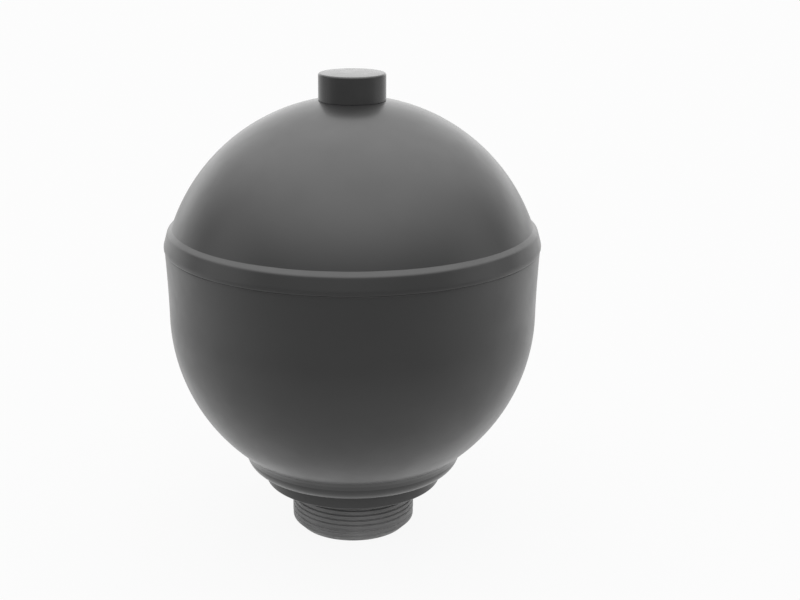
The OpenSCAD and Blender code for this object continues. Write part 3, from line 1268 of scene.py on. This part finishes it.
@dataclass
class Damper:
    """Damper valve in the neck's bore."""

    sides: tuple[str, ...] = ("upper", "lower")
    sizes: tuple[str, ...] = ("large", "medium", "small")

    def build(self, nodes: dict[str, bpy.types.Object]) -> None:
        """Dress the damper's solids.

        Args:
            nodes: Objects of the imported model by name.
        """
        repaint(nodes, STEEL, "damper_body")
        repaint(nodes, ZINC, "damper_bolt", "damper_nut", *(f"{side}_washer" for side in self.sides))
        shims = [f"{side}_shim_{size}" for side in self.sides for size in self.sizes]
        repaint(nodes, SPRING, "snap_ring", *shims)


@dataclass
class Studio:
    """Pale floor, soft light all round and the camera at the photograph's angle.

    The floor's size is in metres. A fade holds the two ends of a passage along one axis of the direction
    that the light comes from.
    """

    floor_size: float = 6.0
    floor_gap: float = 0.05
    floor_grey: float = 0.36
    floor_white: float = 0.92
    apron_grey: float = 0.6
    apron_start: float = -50.0
    apron_end: float = -260.0
    front_level: float = 0.5
    back_level: float = 1.9
    top_level: float = 3.0
    side_level: float = 0.8
    back_fade: tuple[float, float] = (0.2, 0.95)
    roof_fade: tuple[float, float] = (0.2, 1.0)
    roof_end: tuple[float, float] = (0.35, 0.85)
    side_fade: tuple[float, float] = (0.8, 0.97)
    side_end: tuple[float, float] = (0.05, 0.3)
    camera_distance: float = 380.0
    camera_height: float = 182.4
    pitch: float = 17.02
    yaw: float = 0.5
    shift_x: float = 0.0442
    lens: float = 64.3

    def floor_material(self) -> bpy.types.Material:
        """Make a white floor that is greyer in front, keeps the shadow and is clear from below.

        Returns:
            The material.
        """
        material = bpy.data.materials.new("studio_floor")
        material.use_nodes = True
        graph = Graph(material.node_tree)
        place = graph.add("ShaderNodeTexCoord").outputs["Object"]
        depth = graph.add("ShaderNodeSeparateXYZ", {0: place}).outputs["Y"]
        tone = graph.ramp(depth, self.apron_end * MM, self.apron_start * MM, self.apron_grey, 1.0)
        grey = graph.math("MULTIPLY", tone, self.floor_grey)
        matte = graph.add("ShaderNodeBsdfDiffuse", {"Color": grey}).outputs[0]
        white = graph.add("ShaderNodeEmission", {"Strength": tone}).outputs[0]
        path = graph.add("ShaderNodeLightPath").outputs
        mirrored = graph.math("MAXIMUM", path["Is Glossy Ray"], path["Is Transmission Ray"])
        seen = graph.math("MAXIMUM", path["Is Camera Ray"], mirrored)
        share = graph.math("MULTIPLY", seen, self.floor_white)
        above = graph.add("ShaderNodeMixShader", {0: share, 1: matte, 2: white}).outputs[0]
        below = graph.add("ShaderNodeBsdfTransparent").outputs[0]
        under = graph.add("ShaderNodeNewGeometry").outputs["Backfacing"]
        surface = graph.add("ShaderNodeMixShader", {0: under, 1: above, 2: below}).outputs[0]
        graph.add("ShaderNodeOutputMaterial", {"Surface": surface})
        return material

    def build_floor(self) -> None:
        """Lay the floor just below the neck."""
        half = self.floor_size / 2
        drop = -self.floor_gap * MM
        corners = [(-half, -half, drop), (half, -half, drop), (half, half, drop), (-half, half, drop)]
        floor = empty_object("floor")
        floor.data.from_pydata(corners, [], [(0, 1, 2, 3)])
        floor.data.materials.append(self.floor_material())

    def build_light(self) -> None:
        """Light the scene from a tent, dim in front, whose roof is the brightest part and ends behind."""
        world = bpy.data.worlds.new("studio_tent")
        world.use_nodes = True
        bpy.context.scene.world = world
        graph = Graph(world.node_tree)
        way = graph.add("ShaderNodeTexCoord").outputs["Generated"]
        axes = graph.add("ShaderNodeSeparateXYZ", {0: way}).outputs
        across = graph.math("ABSOLUTE", axes["X"])
        walls = graph.ramp(axes["Y"], *self.back_fade, self.front_level, self.back_level)
        roof = graph.ramp(axes["Z"], *self.roof_fade, 0.0, self.top_level)
        ahead = graph.ramp(axes["Y"], *self.roof_end, 1.0, 0.0)
        sides = graph.ramp(across, *self.side_fade, 0.0, self.side_level)
        abreast = graph.ramp(axes["Y"], *self.side_end, 1.0, 0.0)
        lit = graph.math("ADD", walls, graph.math("MULTIPLY", sides, abreast))
        tent = graph.math("ADD", lit, graph.math("MULTIPLY", roof, ahead))
        light = graph.add("ShaderNodeBackground", {"Strength": tent}).outputs[0]
        graph.add("ShaderNodeOutputWorld", {"Surface": light})

    def build_camera(self) -> None:
        """Set the camera at the photograph's distance, height and angle."""
        camera = bpy.data.cameras.new("camera")
        camera.lens = self.lens
        camera.shift_x = self.shift_x
        obj = bpy.data.objects.new("camera", camera)
        obj.location = (0.0, -self.camera_distance * MM, self.camera_height * MM)
        obj.rotation_euler = (math.radians(90 - self.pitch), 0.0, math.radians(-self.yaw))
        bpy.context.scene.collection.objects.link(obj)
        bpy.context.scene.camera = obj

    def build(self) -> None:
        """Build the studio and its plain view settings."""
        self.build_floor()
        self.build_light()
        self.build_camera()
        bpy.context.scene.view_settings.view_transform = "Standard"
        LOG.info("studio: floor, tent and camera")


def main() -> None:
    """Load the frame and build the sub-assemblies in order."""
    logging.basicConfig(level=logging.INFO, format="%(name)s: %(message)s")
    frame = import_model()
    nodes = frame["nodes"]
    Studio().build()
    vessel = Vessel()
    vessel.build()
    WeldBelt().build(vessel)
    Neck().build(vessel)
    GasValve().build(nodes)
    Membrane().build(vessel, nodes)
    Damper().build(nodes)


if __name__ == "__main__":
    main()
